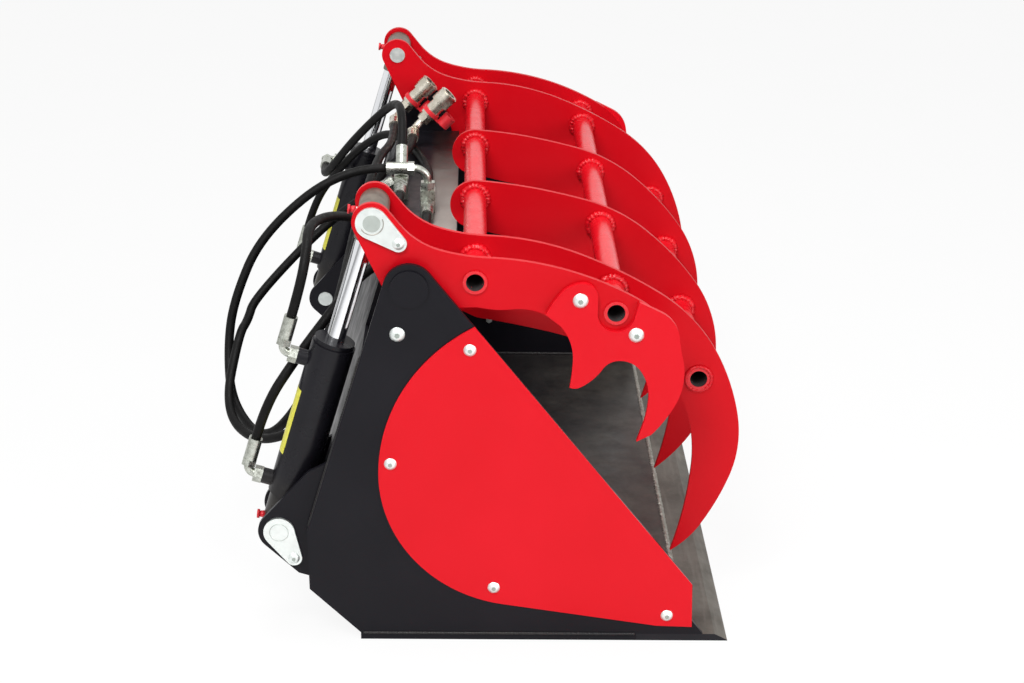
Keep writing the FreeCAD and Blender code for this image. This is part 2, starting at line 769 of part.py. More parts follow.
def fitting(start, direction, after=None, radius=0.0):
    """A nut on a port, a pipe that may turn a corner, and the ferrule that grips the hose."""
    pipe = size_of("pipe_diameter")
    solids = [hexagon(start, direction, NUT_ACROSS, NUT)]
    here = start + direction * NUT
    if after:
        elbow, here = bend(here, direction, after, radius, pipe)
        solids.append(elbow)
        direction = after
    solids.append(hexagon(here, direction, NUT_ACROSS - 2, NUT * 0.8))
    here = here + direction * (NUT * 0.8)
    solids.append(round_bar(here, direction, size_of("ferrule_diameter") / 2, FERRULE))
    return solids[0].fuse(solids[1:]), here + direction * FERRULE


def lean_point(along, back, side):
    """A point beside a cylinder: along it from the lower pin, and out from its back."""
    place = V(side * cylinder_offset, y_of(LOWER_PIN[0]), LOWER_PIN[1])
    return place + LEAN.multVec(V(0, back, along))


def port_fittings(name, side):
    """Elbows at the two ports. The far upper one points to the middle, the others upwards."""
    out, up = LEAN.multVec(V(0, 1, 0)), LEAN.multVec(V(0, 0, 1))
    shapes, ends = [], []
    for alias in ("lower_port_along", "upper_port_along"):
        inward = side > 0 and alias == "upper_port_along"
        after = V(-1, 0, 0) if inward else up
        start = lean_point(size_of(alias), size_of("port_height"), side)
        shape, end = fitting(start, out, after, size_of("elbow_radius"))
        shapes.append(shape)
        ends.append((end, after))
    feature(f"port_fittings_{name}", Part.makeCompound(shapes))
    return ends


THREAD_END, HEAD_RISE, NUT_WIDTH, NUT_HEIGHT = 2, 0.28, 1.6, 0.8


def bolt(start, direction, diameter, head, grip, nut):
    """A round-headed bolt through its grip, with the nut at its end as a solid of its own."""
    length = grip + nut + THREAD_END if nut else grip
    stem = round_bar(start, -direction, diameter / 2, length)
    solid = stem.fuse(dome(start, direction, head, head * HEAD_RISE))
    if not nut:
        return [solid]
    seat = start - direction * grip
    ring = hexagon(seat, -direction, diameter * NUT_WIDTH, nut)
    return [solid, ring.cut(round_bar(seat, -direction, diameter / 2 + PLAY, nut))]


def bolts(label, places, head, diameter, face, grip, nut=NOTHING, origin=ORIGIN):
    """The same bolts on both sides. Those with no nut are screwed into the last plate."""
    solids = []
    for name, side in SIDES:
        for reach, height in places:
            start = V(side * face, y_of(reach + origin[0]), height + origin[1])
            solids += bolt(start, V(side, 0, 0), diameter, head, grip, nut)
    feature(label, Part.makeCompound(solids))


# Hoses. A hose is straight runs joined by arcs as large as the runs allow
def hose(label, first, last, lead, route):
    """A round hose between two ferrules, straight for a lead at each, by (x, reach, height) points."""
    points = [V(x, y_of(reach), height) for x, reach, height in route]
    points = [first[0], first[0] + first[1] * lead] + points + [last[0] + last[1] * lead, last[0]]
    edges, here, tightest = [], points[0], None
    for before, point, after in zip(points, points[1:], points[2:]):
        inward, outward = (point - before), (after - point)
        shorter = min(inward.Length, outward.Length)
        inward.normalize()
        outward.normalize()
        turn = inward.getAngle(outward)
        setback = 0.45 * shorter
        radius = setback / math.tan(turn / 2)
        tightest = min(tightest or radius, radius)
        start, stop = point - inward * setback, point + outward * setback
        toward = outward - inward
        toward.normalize()
        centre = point + toward * (radius / math.cos(turn / 2))
        edges.append(Part.makeLine(here, start))
        edges.append(Part.Arc(start, centre - toward * radius, stop).toShape())
        here = stop
    edges.append(Part.makeLine(here, points[-1]))
    path = Part.Wire(edges)
    ring = Part.Wire([Part.Circle(points[0], points[1] - points[0], HOSE / 2).toShape()])
    tube = path.makePipeShell([ring], True, False)
    expected = math.pi * HOSE ** 2 / 4 * path.Length
    measured = f"length {path.Length:.0f}, tightest radius {tightest:.0f}"
    print(f"{label}: {measured}, volume {tube.Volume / expected:.4f}")
    feature(label, tube)


def tee(label, x, reach, branches):
    """A square block on the beam with fittings on its faces. Each branch names a hose."""
    half = size_of("block_size") / 2
    foot, height = SHELL_TOP[1] + size_of("beam_height"), size_of("block_height")
    solid = Part.makeBox(half * 2, half * 2, height, V(x - half, y_of(reach) - half, foot))
    ends = []
    for offset, direction, after in branches:
        middle = V(x, y_of(reach), foot + height / 2)
        start = middle + V(offset[0] * half, offset[1] * half, offset[2] * height / 2)
        shape, end = fitting(start, V(*direction).normalize(), after and V(*after), SWEPT)
        solid = solid.fuse(shape)
        ends.append((end, V(*(after or direction)).normalize()))
    feature(label, solid)
    return ends


COUPLER_AXIS = V(0, -1, 1).normalize()
COUPLER_DOWN = V(0, -1, -1).normalize()


def coupler(name, x, reach, height):
    """A female quick coupler with its sliding sleeve and dust cap, and the elbow on its hose."""
    base = V(x, y_of(reach), height)
    length, depth = size_of("coupler_length"), size_of("coupler_depth")
    radius, lip = size_of("coupler_diameter") / 2, size_of("coupler_lip")
    body = round_bar(base, COUPLER_AXIS, radius, length)
    collar = round_bar(base + COUPLER_AXIS * (length - lip), COUPLER_AXIS, radius + lip, lip)
    elbow, end = fitting(base, -COUPLER_AXIS, V(-1, 0, 0), SWEPT)
    bore = size_of("coupler_bore") / 2
    socket = round_bar(base + COUPLER_AXIS * (length - depth), COUPLER_AXIS, bore, depth)
    feature(f"coupler_{name}", body.fuse([collar, elbow]).cut(socket))
    sleeve, sleeve_radius = size_of("sleeve_length"), size_of("sleeve_diameter") / 2
    start = base + COUPLER_AXIS * (length - lip - sleeve)
    ring = round_bar(start, COUPLER_AXIS, sleeve_radius, sleeve)
    feature(f"coupler_sleeve_{name}", ring.cut(round_bar(start, COUPLER_AXIS, radius + PLAY / 2, sleeve)))
    band_start, band_wall, band_width = 6, 3, 8
    strap_width, strap_thickness = 12, 4
    cap, cap_length, cap_wall, cap_base = size_of("cap_diameter") / 2, 24, 3, 5
    foot = base + COUPLER_AXIS * band_start
    middle = foot + COUPLER_DOWN * (sleeve_radius + cap + 2)
    band = round_bar(foot, COUPLER_AXIS, radius + band_wall, band_width)
    strap = Part.makeBox(strap_width, (middle - foot).Length, strap_thickness, V(-strap_width / 2, 0, 0))
    strap.Placement = FreeCAD.Placement(foot + COUPLER_AXIS * 2, FreeCAD.Rotation(V(0, 1, 0), COUPLER_DOWN))
    cup = round_bar(middle, COUPLER_AXIS, cap, cap_length)
    hollow = round_bar(middle + COUPLER_AXIS * cap_base, COUPLER_AXIS, cap - cap_wall, cap_length - cap_base)
    hole = round_bar(base, COUPLER_AXIS, radius + PLAY / 2, length)
    feature(f"dust_cap_{name}", band.fuse([strap, cup]).cut(hole.fuse(hollow)))
    return end, V(-1, 0, 0)


bucket_shell()
cutting_edge()
back_beam()
for name, side in SIDES:
    for build in (side_plate, side_cover, brackets, outer_arm, inner_arm, tine, claw):
        build(name, side)
    for build in (upper_pin_core, barrel, gland, rod):
        build(name, side)
for label, build in (("wear_strips", wear_strip), ("pivot_ears", pivot_ear), ("pivot_pins", pivot_pin),
                     ("pivot_bushes", pivot_bush), ("lower_pins", lower_pin), ("lower_keepers", lower_keeper),
                     ("upper_pin_ends", upper_pin_ends), ("upper_keepers", upper_keeper)):
    group(label, *[build(name, side) for name, side in SIDES])
tube_end = arm_outer + size_of("tube_stand_out")
cross_tube("cross_tube_rear", REAR_TUBE, tube_end)
cross_tube("cross_tube_middle", MIDDLE_TUBE, tube_end)
cross_tube("cross_tube_front", FRONT_TUBE, arm_inner + size_of("tube_stand_out"))

cover_nut, heavy_nut = COVER_BOLT * NUT_HEIGHT, HEAVY_BOLT * NUT_HEIGHT
heavy_head, keeper_head = size_of("heavy_bolt_head"), size_of("keeper_bolt_head")
bolts("cover_bolts", COVER_BOLTS, size_of("cover_bolt_head"), COVER_BOLT, side_outer + COVER,
      SIDE + COVER, cover_nut)
bolts("side_bolts", (SIDE_BOLT,), heavy_head, HEAVY_BOLT, side_outer, SIDE, heavy_nut)
bolts("claw_bolts", CLAW_BOLTS, heavy_head, HEAVY_BOLT, arm_outer + CLAW, CLAW + ARM, heavy_nut, PIVOT)
bolts("lower_keeper_bolts", (LOWER_KEEPER_BOLT,), keeper_head, HEAVY_BOLT, arm_outer + KEEPER, KEEPER + ARM)
bolts("upper_keeper_bolts", (UPPER_KEEPER_BOLT,), keeper_head, HEAVY_BOLT, arm_outer + KEEPER, KEEPER + ARM,
      NOTHING, PIVOT)

near_lower, near_upper = port_fittings("right", -1)
far_lower, far_upper = port_fittings("left", 1)
tee_a = tee("lower_circuit_tee", -60, -75, [
    ((-1, 0, -0.25), (-1, 0, 0), None),
    ((1, 0, -0.25), (1, 0, 0), None),
    ((0, 0, 1), (0, 0, 1), (0, 1, 0)),
])
tee_b = tee("upper_circuit_tee", 15, -125, [
    ((-1, 0, 0.4), (-1, 0, 0), None),
    ((0.4, 0, 0.8), (1, 0, 1), None),
    ((0, 0.9, 0.5), (0, 0.87, -0.5), None),
])
coupler_a = coupler("a", 350, -85, 622)
coupler_b = coupler("b", 420, -123, 627)

hose("supply_hose_a", tee_a[2], coupler_a, 80, [
    (-70, -340, 585), (-95, -410, 480), (-135, -438, 345), (-215, -425, 222),
    (-320, -370, 205), (-385, -290, 300), (-335, -240, 415), (-220, -220, 470), (-80, -212, 496),
    (50, -204, 518), (125, -168, 572)])
hose("supply_hose_b", tee_b[2], coupler_b, 62, [
    (-15, -320, 455), (-90, -385, 390), (-190, -415, 315), (-300, -385, 255),
    (-400, -310, 290), (-400, -255, 390), (-320, -215, 480), (-190, -195, 545), (-50, -183, 600),
    (90, -168, 615), (200, -152, 604)])
hose("cylinder_hose_lower_right", near_lower, tee_a[0], 62, [
    (-504, -278, 452), (-452, -230, 505), (-436, -165, 588),
    (-350, -102, 576), (-260, -80, 570)])
hose("cylinder_hose_upper_right", near_upper, tee_b[0], 53, [
    (-501, -258, 647), (-446, -250, 678), (-356, -226, 666), (-280, -180, 630), (-200, -145, 605)])
hose("cylinder_hose_lower_left", far_lower, tee_a[1], 62, [
    (500, -278, 455), (450, -225, 525), (385, -160, 582), (280, -105, 572), (170, -80, 570)])
hose("cylinder_hose_upper_left", far_upper, tee_b[1], 60, [
    (340, -275, 515), (290, -225, 590), (232, -159, 669), (169, -134, 696)])

doc.recompute()
for thing in doc.Objects:
    bad = [state for state in thing.State if state in ("Invalid", "Error")]
    if bad:
        raise RuntimeError(f"{thing.Label} is {bad}")
for thing in parts:
    if thing.Shape.isNull() or not thing.Shape.isValid() or not thing.Shape.Solids:
        raise RuntimeError(f"{thing.Label} has no valid solid")

os.makedirs("parts", exist_ok=True)
for thing in parts:
    thing.Shape.exportStep(f"parts/{thing.Label}.step")
print(f"{len(parts)} sub-parts written")
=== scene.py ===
# Looks of the silage grab bucket: paint, zinc, chrome, hoses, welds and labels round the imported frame.
# Metres. Side views are (reach, height) as in the model: reach grows towards the cutting edge, so it is -Y.
import math
import random

import bpy
from mathutils import Matrix, Vector


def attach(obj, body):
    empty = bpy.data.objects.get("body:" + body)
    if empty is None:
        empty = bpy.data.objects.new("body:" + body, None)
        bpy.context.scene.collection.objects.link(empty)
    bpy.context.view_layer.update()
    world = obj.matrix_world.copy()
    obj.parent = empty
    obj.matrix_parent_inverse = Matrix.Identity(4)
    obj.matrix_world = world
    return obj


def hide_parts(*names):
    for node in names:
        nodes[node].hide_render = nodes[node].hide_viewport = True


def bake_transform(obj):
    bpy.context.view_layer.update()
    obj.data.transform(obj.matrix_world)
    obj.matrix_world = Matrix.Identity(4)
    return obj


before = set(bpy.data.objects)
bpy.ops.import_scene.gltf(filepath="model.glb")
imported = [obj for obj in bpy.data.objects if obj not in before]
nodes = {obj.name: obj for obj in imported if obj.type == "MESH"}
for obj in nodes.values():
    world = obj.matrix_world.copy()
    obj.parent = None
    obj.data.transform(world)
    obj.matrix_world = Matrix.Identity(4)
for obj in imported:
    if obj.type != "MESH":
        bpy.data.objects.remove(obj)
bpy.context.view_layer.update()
scene = bpy.context.scene
chance = random.Random(7)

EDGE_MIDDLE = 0.354
PIVOT = (-0.092, 0.611)
LOWER_PIN = (-0.302, 0.188)
UPPER_PIN = (-0.148, 0.712)
CYLINDER_X = 0.528
LEAN = (0.28199, 0.95942)
UPWARD = Vector((0, -LEAN[0], LEAN[1]))
LEFT, RIGHT, REARWARD = Vector((1, 0, 0)), Vector((-1, 0, 0)), Vector((0, 1, 0))
SIDES = (("right", -1), ("left", 1))


def at(x, reach, height):
    return Vector((x, EDGE_MIDDLE - reach, height))


LOWER_ALONG = at(0, *LOWER_PIN).dot(UPWARD)
UPPER_ALONG = at(0, *UPPER_PIN).dot(UPWARD)


# Camera: level line, turn and tilt solved from the photograph's own straight edges
PHOTO_WIDTH = 1024
FOCAL_PIXELS = 1973
SENSOR = 36
PITCH, YAW, ROLL = (math.radians(angle) for angle in (21.990, 1.356, -0.9975))
CAMERA_PLACE = at(-3.417, 0, 1.665)


def make_camera():
    look = Vector((math.cos(PITCH) * math.cos(YAW), -math.cos(PITCH) * math.sin(YAW), -math.sin(PITCH)))
    right = look.cross(Vector((0, 0, 1))).normalized()
    down = look.cross(right)
    across = right * math.cos(ROLL) + down * math.sin(ROLL)
    under = down * math.cos(ROLL) - right * math.sin(ROLL)
    lens = bpy.data.cameras.new("camera")
    lens.sensor_width = SENSOR
    lens.lens = FOCAL_PIXELS / PHOTO_WIDTH * SENSOR
    lens.clip_start, lens.clip_end = 0.1, 100
    camera = bpy.data.objects.new("camera", lens)
    turn = Matrix((across, -under, -look)).transposed().to_4x4()
    camera.matrix_world = Matrix.Translation(CAMERA_PLACE) @ turn
    scene.collection.objects.link(camera)
    scene.camera = camera


# Materials
class Nodes:
    """A small helper that adds shader nodes and joins their sockets."""

    def __init__(self, name):
        self.material = bpy.data.materials.new(name)
        self.material.use_nodes = True
        self.tree = self.material.node_tree
        self.shader = self.tree.nodes["Principled BSDF"]
        self.place = self.tree.nodes.new("ShaderNodeTexCoord").outputs["Object"]

    def join(self, source, target):
        self.tree.links.new(source, target)

    def noise(self, scale, detail=3, roughness=0.5, place=None):
        noise = self.tree.nodes.new("ShaderNodeTexNoise")
        noise.inputs["Scale"].default_value = scale
        noise.inputs["Detail"].default_value = detail
        noise.inputs["Roughness"].default_value = roughness
        self.join(place or self.place, noise.inputs["Vector"])
        return noise.outputs["Fac"]

    def stretch(self, scale):
        mapping = self.tree.nodes.new("ShaderNodeMapping")
        mapping.inputs["Scale"].default_value = scale
        self.join(self.place, mapping.inputs["Vector"])
        return mapping.outputs["Vector"]

    def spread(self, value, low, high, start=0.3, end=0.7):
        remap = self.tree.nodes.new("ShaderNodeMapRange")
        self.join(value, remap.inputs["Value"])
        for name, number in (("From Min", start), ("From Max", end), ("To Min", low), ("To Max", high)):
            remap.inputs[name].default_value = number
        return remap.outputs["Result"]

    def blend(self, value, first, second):
        mix = self.tree.nodes.new("ShaderNodeMix")
        mix.data_type = "RGBA"
        self.join(value, mix.inputs["Factor"])
        for socket, colour in ((mix.inputs[6], first), (mix.inputs[7], second)):
            if isinstance(colour, tuple):
                socket.default_value = (*colour, 1)
            else:
                self.join(colour, socket)
        return mix.outputs[2]

    def multiply(self, first, second):
        product = self.tree.nodes.new("ShaderNodeMath")
        product.operation = "MULTIPLY"
        self.join(first, product.inputs[0])
        self.join(second, product.inputs[1])
        return product.outputs[0]

    def bump(self, height, strength, distance):
        bump = self.tree.nodes.new("ShaderNodeBump")
        bump.inputs["Strength"].default_value = strength
        bump.inputs["Distance"].default_value = distance
        self.join(height, bump.inputs["Height"])
        self.join(bump.outputs["Normal"], self.shader.inputs["Normal"])

    def axis(self, name):
        split = self.tree.nodes.new("ShaderNodeSeparateXYZ")
        self.join(self.place, split.inputs["Vector"])
        return split.outputs[name]

    def along(self, direction):
        """How far a point lies along a direction."""
        dot = self.tree.nodes.new("ShaderNodeVectorMath")
        dot.operation = "DOT_PRODUCT"
        dot.inputs[1].default_value = direction
        self.join(self.place, dot.inputs[0])
        return dot.outputs["Value"]

    def size(self, value):
        """A number without its sign."""
        plain = self.tree.nodes.new("ShaderNodeMath")
        plain.operation = "ABSOLUTE"
        self.join(value, plain.inputs[0])
        return plain.outputs[0]

    def set(self, **values):
        for name, value in values.items():
            socket = self.shader.inputs[name.replace("_", " ")]
            if hasattr(value, "links"):
                self.join(value, socket)
            else:
                socket.default_value = (*value, 1) if isinstance(value, tuple) else value


def paint(name, dark, light, rough, gloss=0.14):
    """Sprayed enamel: a slight colour drift, a little orange peel and fine dust."""
    look = Nodes(name)
    colour = look.blend(look.spread(look.noise(5, 2), 0, 1), dark, light)
    dust = look.spread(look.noise(420, 2), 0, 0.12, 0.62, 0.8)
    look.set(Base_Color=look.blend(dust, colour, tuple(min(1, c * 1.25 + 0.01) for c in light)))
    look.set(Roughness=look.spread(look.noise(35, 3), rough - 0.04, rough + 0.06), Specular_IOR_Level=gloss)
    look.bump(look.noise(330, 2), 0.1, 0.0006)
    return look.material


def barrel_paint():
    """Glossy black, with brown-grey dust that thickens towards the lower eye."""
    look = Nodes("barrel_paint")
    black = look.blend(look.spread(look.noise(9, 3), 0, 1), BLACK_DARK, BLACK_LIGHT)
    dust = look.blend(look.spread(look.noise(30, 5, 0.6), 0, 1), (0.020, 0.018, 0.014), (0.075, 0.067, 0.052))
    low = look.spread(look.along(UPWARD), 1, 0, LOWER_ALONG + 0.015, LOWER_ALONG + 0.085)
    patchy = look.spread(look.noise(14, 4, 0.6), 0.1, 0.9)
    look.set(Base_Color=look.blend(look.multiply(low, patchy), black, dust), Specular_IOR_Level=0.22)
    look.set(Roughness=look.spread(look.noise(40, 3), 0.24, 0.36))
    look.bump(look.noise(330, 2), 0.1, 0.0006)
    return look.material


def rod_chrome():
    """Hard chrome up to the neck, and a bare brown-grey forging above it."""
    look = Nodes("rod_chrome")
    bare = look.blend(look.spread(look.noise(45, 5, 0.6), 0, 1), (0.13, 0.105, 0.085), (0.27, 0.23, 0.19))
    bright = look.blend(look.spread(look.noise(40, 3, 0.5, look.stretch((1, 1, 0.3))), 0, 1),
                        (0.72, 0.73, 0.75), (0.80, 0.81, 0.83))
    eye = look.spread(look.along(UPWARD), 0, 1, UPPER_ALONG - 0.0485, UPPER_ALONG - 0.0475)
    look.set(Base_Color=look.blend(eye, bright, bare), Metallic=1.0)
    look.set(Roughness=look.spread(eye, 0.07, 0.46, 0, 1))
    look.bump(look.noise(260, 3), 0.05, 0.0004)
    return look.material


def metal(name, dark, light, rough, grain=(1, 1, 1), scale=60, relief=0.08):
    """Bare or plated metal, with its grain along the axis that is least stretched."""
    look = Nodes(name)
    place = look.stretch(grain)
    look.set(Base_Color=look.blend(look.spread(look.noise(scale, 4, 0.6, place), 0, 1), dark, light))
    look.set(Metallic=1.0, Roughness=look.spread(look.noise(scale * 2, 3, 0.5, place), rough, rough + 0.14))
    look.bump(look.noise(scale * 6, 2, 0.5, place), relief, 0.0004)
    return look.material


def plastic(name, dark, light, rough):
    look = Nodes(name)
    look.set(Base_Color=look.blend(look.spread(look.noise(40, 3), 0, 1), dark, light))
    look.set(Roughness=look.spread(look.noise(90, 2), rough, rough + 0.1))
    look.bump(look.noise(700, 2), 0.12, 0.0004)
    return look.material


def hose_rubber():
    """Black hose cover: a fine weave, with a little dust."""
    look = Nodes("hose_rubber")
    dust = look.spread(look.noise(26, 5, 0.6), 0, 0.5, 0.5, 0.8)
    look.set(Base_Color=look.blend(dust, (0.004, 0.0038, 0.0038), (0.011, 0.009, 0.009)))
    look.set(Roughness=look.spread(look.noise(80, 3), 0.42, 0.6), Specular_IOR_Level=0.12)
    look.bump(look.noise(1400, 2), 0.35, 0.0006)
    return look.material


def bucket_steel():
    """Black paint, turning in patches to grey-brown steel towards the front and the bottom of the inside."""
    look = Nodes("bucket_steel")
    black = look.blend(look.spread(look.noise(9, 4), 0, 1), BLACK_DARK, BLACK_LIGHT)
    bare = look.blend(look.spread(look.noise(24, 6, 0.65), 0, 1), (0.040, 0.035, 0.029), (0.10, 0.090, 0.076))
    forward = look.spread(look.axis("Y"), 1, 0, -0.01, 0.33)
    low = look.spread(look.axis("Z"), 1, 0, 0.03, 0.20)
    patchy = look.spread(look.noise(7, 5, 0.6), 0.35, 1.0)
    inside = look.spread(look.axis("Z"), 0, 1, 0.0135, 0.0155)
    front_low_steel_mask = look.multiply(look.multiply(forward, low), look.multiply(patchy, inside))
    look.set(Base_Color=look.blend(front_low_steel_mask, black, bare), Roughness=look.spread(look.noise(30, 4), 0.30, 0.48))
    look.set(Specular_IOR_Level=look.spread(front_low_steel_mask, 0.2, 0.35, 0, 1))
    look.bump(look.noise(160, 3), 0.12, 0.0008)
    return look.material


def scale_steel():
    """Hot-rolled edge: grey-brown mill scale, paler rubbed streaks across, and black paint on its ends."""
    look = Nodes("scale_steel")
    scale = look.blend(look.spread(look.noise(14, 6, 0.65), 0, 1),
                       (0.085, 0.078, 0.066), (0.17, 0.158, 0.138))
    streak = look.spread(look.noise(30, 3, 0.5, look.stretch((0.3, 3, 3))), 0, 0.5, 0.5, 0.8)
    steel = look.blend(streak, scale, (0.24, 0.225, 0.20))
    ends = look.spread(look.size(look.axis("X")), 0, 1, 0.5990, 0.5997)
    look.set(Base_Color=look.blend(ends, steel, BLACK_LIGHT), Metallic=look.spread(ends, 0.3, 0, 0, 1))
    look.set(Roughness=look.spread(look.noise(50, 4), 0.45, 0.62), Specular_IOR_Level=0.25)
    look.bump(look.noise(240, 4), 0.22, 0.0008)
    return look.material


def beam_paint():
    """Black paint, with a strip along the front of the top coloured to stand in for light: a pale painted sheen
    at the -X end, fading to painted shade with a red painted reflection at the +X end.
    """
    look = Nodes("beam_paint")
    black = look.blend(look.spread(look.noise(9, 4), 0, 1), BLACK_DARK, BLACK_LIGHT)
    # The top strip's colours are painted light: a pale painted sheen at the -X end, blending into dark red
    # painted shade and reflection at the +X end.
    pale_painted_sheen = look.blend(look.spread(look.noise(20, 6, 0.65), 0, 1), (0.22, 0.19, 0.17), (0.36, 0.33, 0.30))
    bare = look.blend(look.spread(look.axis("X"), 0, 1, -0.15, 0.33), pale_painted_sheen, (0.014, 0.006, 0.006))
    front = look.spread(look.axis("Y"), 1, 0, EDGE_MIDDLE + 0.066, EDGE_MIDDLE + 0.078)
    top = look.spread(look.axis("Z"), 0, 1, 0.552, 0.5595)
    look.set(Base_Color=look.blend(look.multiply(front, top), black, bare), Specular_IOR_Level=0.2)
    look.set(Roughness=look.spread(look.noise(40, 4), 0.3, 0.5))
    look.bump(look.noise(200, 3), 0.1, 0.0006)
    return look.material


RED_DARK, RED_LIGHT = (0.61, 0.0040, 0.011), (0.65, 0.0050, 0.014)
BLACK_DARK, BLACK_LIGHT = (0.0055, 0.0052, 0.0075), (0.0085, 0.0080, 0.0110)
red = paint("red_enamel", RED_DARK, RED_LIGHT, 0.32)
# The arms, tines and pivot bushes take the red enamel made darker: the darkening is painted shade.
arm_red_painted_shade = paint("arm_enamel_painted_shade", (0.53, 0.0030, 0.008), (0.57, 0.0036, 0.010), 0.32, 0.11)
tube_red = paint("tube_enamel", RED_DARK, RED_LIGHT, 0.26, 0.5)
black = paint("black_enamel", BLACK_DARK, BLACK_LIGHT, 0.34)
red_weld = paint("red_weld_paint", (0.52, 0.004, 0.010), RED_LIGHT, 0.3, 0.3)
black_weld = paint("black_weld_paint", BLACK_LIGHT, (0.022, 0.020, 0.018), 0.36, 0.3)
zinc = metal("zinc_plating", (0.68, 0.72, 0.70), (0.77, 0.81, 0.79), 0.36)
fitting_zinc = metal("fitting_zinc", (0.30, 0.31, 0.27), (0.56, 0.58, 0.53), 0.24, scale=110)
nickel = metal("coupler_nickel", (0.50, 0.46, 0.38), (0.66, 0.62, 0.54), 0.2, scale=50)
weld_steel = metal("weld_steel", (0.24, 0.225, 0.20), (0.42, 0.40, 0.36), 0.4, scale=120)
steel = metal("turned_steel", (0.30, 0.28, 0.25), (0.48, 0.46, 0.42), 0.3, (0.2, 1, 1), 90)
chrome = rod_chrome()
barrel_black = barrel_paint()
rubber = hose_rubber()
cap_red = plastic("cap_red", (0.55, 0.01, 0.02), (0.70, 0.02, 0.03), 0.42)
label_yellow = plastic("label_yellow", (0.66, 0.62, 0.05), (0.74, 0.70, 0.10), 0.4)
# Darker grey for the bolt sockets: painted shade for their recesses.
socket_painted_shade = metal("socket_painted_shade", (0.30, 0.34, 0.31), (0.40, 0.44, 0.41), 0.45)
pin_face = metal("pin_face", (0.40, 0.44, 0.41), (0.50, 0.54, 0.51), 0.42)
# Near-black for the tube sleeves: painted shade inside the tubes.
bore_painted_shade = plastic("bore_painted_shade", (0.006, 0.004, 0.004), (0.014, 0.008, 0.008), 0.7)
shell_look, edge_look, beam_look = bucket_steel(), scale_steel(), beam_paint()

LOOKS = (
    (arm_red_painted_shade, ("arm_", "tine_", "pivot_bushes")),
    (red, ("claw_left", "claw_right", "side_cover_")),
    (tube_red, ("cross_tube_",)),
    (black, ("side_plate_", "cylinder_bracket_", "pivot_ears", "pivot_pins", "wear_strips")),
    (barrel_black, ("barrel_", "gland_")),
    (zinc, ("lower_keeper", "upper_keeper", "cover_bolts", "side_bolts", "claw_bolts", "lower_pins",
            "upper_pin_ends")),
    (fitting_zinc, ("port_fittings_", "upper_circuit_tee", "lower_circuit_tee")),
    (nickel, ("coupler_",)),
    (steel, ("upper_pin_core_", "piston_")),
    (chrome, ("rod_",)),
    (cap_red, ("dust_cap_",)),
    (shell_look, ("bucket_shell",)),
    (edge_look, ("cutting_edge",)),
    (beam_look, ("back_beam",)),
)


def dress(node, material):
    if not node.material_slots:
        node.data.materials.append(material)
    for place in node.material_slots:
        place.material = material


def dress_nodes():
    for name, node in nodes.items():
        for material, starts in LOOKS:
            if name.startswith(starts):
                dress(node, material)


# Pieces
def piece(name, points, faces, material, body, smooth=True):
    mesh = bpy.data.meshes.new(name)
    mesh.from_pydata([tuple(p) for p in points], [], faces)
    mesh.validate()
    mesh.update()
    for face in mesh.polygons:
        face.use_smooth = smooth and len(face.vertices) == 4
    mesh.materials.append(material)
    thing = bpy.data.objects.new(name, mesh)
    scene.collection.objects.link(thing)
    if body:
        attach(thing, body)
    return thing


def sweep(points, radii, sides, closed=False):
    """A round tube along points, with its own radius at each, turned along without twist."""
    count = len(points)
    ways = []
    for index in range(count):
        if closed:
            way = points[(index + 1) % count] - points[index - 1]
        else:
            way = points[min(index + 1, count - 1)] - points[max(index - 1, 0)]
        ways.append(way.normalized())
    side = ways[0].orthogonal().normalized()
    vertices, faces = [], []
    for index, (point, way) in enumerate(zip(points, ways)):
        side = (side - way * side.dot(way)).normalized()
        other = way.cross(side)
        for step in range(sides):
            angle = 2 * math.pi * step / sides
            vertices.append(point + (side * math.cos(angle) + other * math.sin(angle)) * radii[index])
    rings = count if closed else count - 1
    for ring in range(rings):
        for step in range(sides):
            a, b = ring * sides + step, ring * sides + (step + 1) % sides
            c, d = (ring + 1) % count * sides + (step + 1) % sides, (ring + 1) % count * sides + step
            faces.append((a, b, c, d))
    if not closed:
        faces.append(tuple(range(sides))[::-1])
        faces.append(tuple((count - 1) * sides + step for step in range(sides)))
    return vertices, faces


def seam(points, size, pitch=0.0045):
    """Points and radii of a weld bead along a line: ripples, with small random swells."""
    line, radii = [], []
    for start, end in zip(points, points[1:]):
        steps = max(2, int((end - start).length / (pitch / 3)))
        for step in range(steps):
            line.append(start.lerp(end, step / steps))
    line.append(points[-1])
    for index in range(len(line)):
        ripple = 0.12 * math.cos(2 * math.pi * index / 3)
        radii.append(size * (1 + ripple + chance.uniform(-0.12, 0.12)))
    return line, radii


def weld_line(name, points, size, material, body):
    line, radii = seam(points, size)
    vertices, faces = sweep(line, radii, 7)
    piece(name, vertices, faces, material, body)


def weld_ring(centre, radius, size, ripples=22):
    """A lumpy collar round a tube that lies along X, as vertices and faces."""
    points, radii = [], []
    count = ripples * 3
    for index in range(count):
        angle = 2 * math.pi * index / count
        wobble = chance.uniform(-0.5, 0.5) * size * 0.3
        points.append(centre + Vector((wobble, radius * math.cos(angle), radius * math.sin(angle))))
        radii.append(size * (1 + 0.16 * math.cos(2 * math.pi * index / 3) + chance.uniform(-0.14, 0.14)))
    return sweep(points, radii, 7, closed=True)


def joined(name, parts, material, body):
    vertices, faces = [], []
    for part_vertices, part_faces in parts:
        offset = len(vertices)
        vertices += part_vertices
        faces += [tuple(offset + corner for corner in face) for face in part_faces]
    piece(name, vertices, faces, material, body)


# Hoses: the model's routes, in places up to 27 mm off them to follow the photograph
HOSE_RADIUS = 0.008


